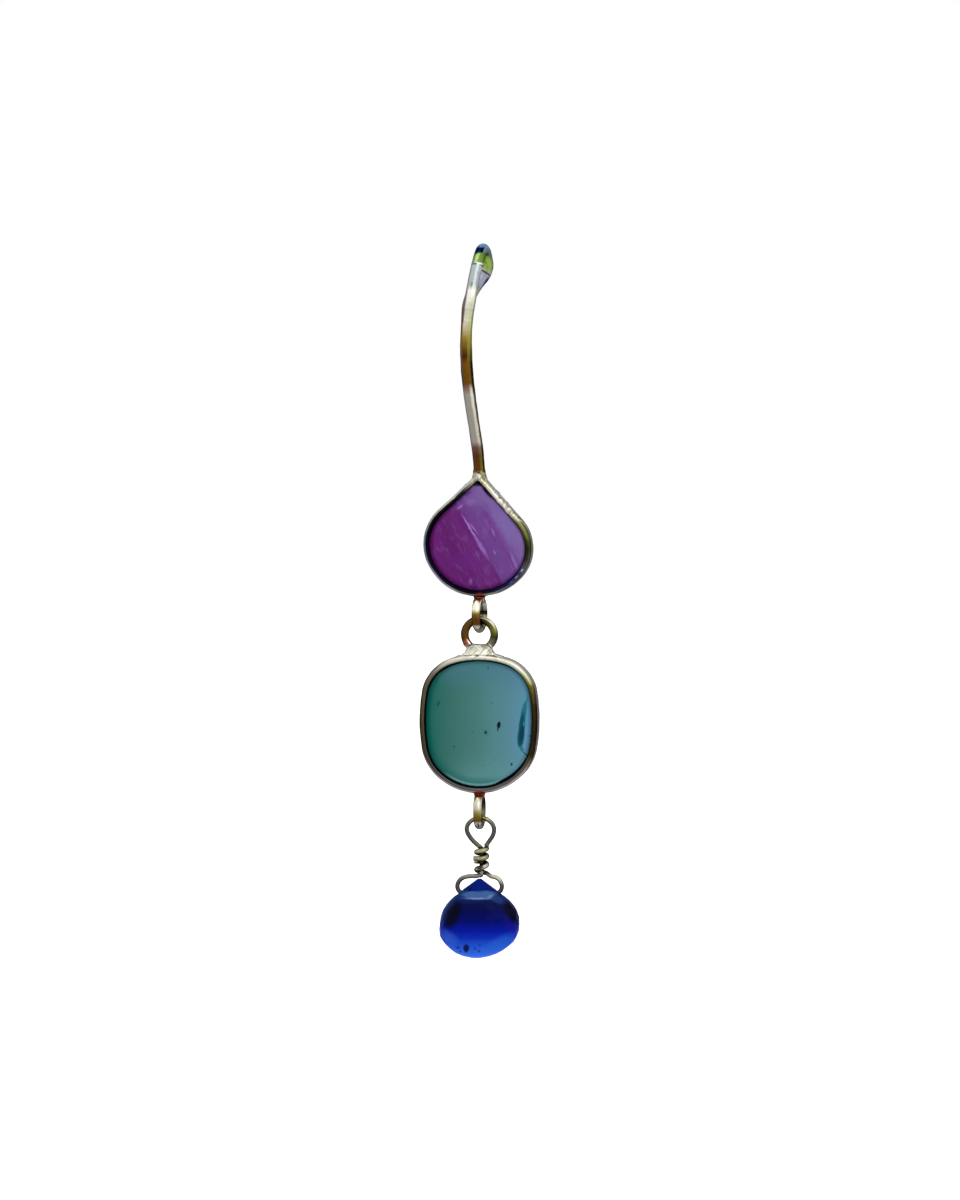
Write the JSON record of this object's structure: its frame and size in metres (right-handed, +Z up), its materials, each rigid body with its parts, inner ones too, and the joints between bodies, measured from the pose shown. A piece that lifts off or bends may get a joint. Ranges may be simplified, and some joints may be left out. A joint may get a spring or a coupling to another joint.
{
  "type": "aventurine drop earring",
  "caption": "Drop earring with a fish-hook ear wire, a pear amethyst and a cushion aventurine in rubbed settings, and a faceted blue drop on wrapped wire.",
  "frame": {"origin": "under the top of the ear wire's bend, where the earlobe carries the earring", "axes": "+Z up, the faces of the stones look towards -Y, +X to the viewer's right"},
  "size_m": [0.0108, 0.0104, 0.065],
  "materials": {
    "pale_gold": "polished pale gold plate on silver, hand-worked, with soldered joints",
    "wire": "drawn pale gold-coloured wire",
    "amethyst": "polished purple quartz with pale feathers",
    "aventurine": "polished translucent green quartz with dark inclusions",
    "blue_stone": "polished faceted deep blue stone"
  },
  "bodies": {
    "upper": {"ear_hook": "pale_gold", "amethyst": "amethyst"},
    "middle": {"middle_setting": "pale_gold", "aventurine": "aventurine"},
    "lower": {"drop_wire": "wire"},
    "blue_drop": {"briolette": "blue_stone"}
  },
  "joints": [
    {"name": "middle_swing", "type": "hinge", "parent": "upper", "child": "middle", "pos_m": [0, 0, -0.03394], "axis": [0, 1, 0], "range_deg": [-75, 75]},
    {"name": "lower_swing", "type": "hinge", "parent": "middle", "child": "lower", "pos_m": [0, 0, -0.05183], "axis": [0, 1, 0], "range_deg": [-75, 75]},
    {"name": "blue_drop_rock", "type": "hinge", "parent": "lower", "child": "blue_drop", "pos_m": [0, 0, -0.05803], "axis": [1, 0, 0], "range_deg": [-30, 30]}
  ]
}
